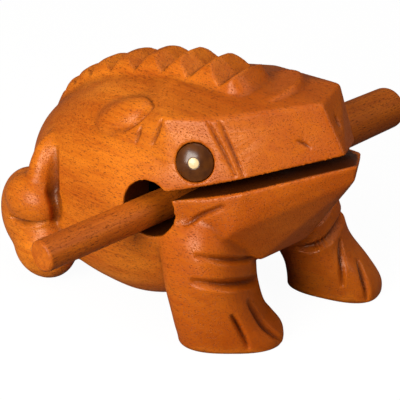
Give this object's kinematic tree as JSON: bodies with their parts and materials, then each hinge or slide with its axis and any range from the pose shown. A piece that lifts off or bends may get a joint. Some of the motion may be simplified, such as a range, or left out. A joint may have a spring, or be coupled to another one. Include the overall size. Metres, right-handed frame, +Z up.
{
  "type": "frog guiro",
  "caption": "Hollow carved wooden frog with a toothed ridge down its back, inlaid eyes, and a turned beater lying in a hole through its cheeks.",
  "frame": {"origin": "bottom centre of the whole object's box, on the surface the frog stands on", "axes": "+Z up; the frog looks along -Y; +X to the frog's left, the way the beater's head points"},
  "size_m": [0.18, 0.147, 0.0978],
  "materials": {
    "body_wood": "orange-brown hardwood, rubbed with wax to a satin shine",
    "striker_wood": "red-brown hardwood, turned, satin",
    "eye_dark": "polished dark brown resin",
    "pupil_cream": "polished cream resin"
  },
  "bodies": {
    "root": {"frog_body": "body_wood", "striker_stick": "striker_wood", "left_eye": "eye_dark", "right_eye": "eye_dark", "left_pupil": "pupil_cream", "right_pupil": "pupil_cream"}
  },
  "joints": []
}
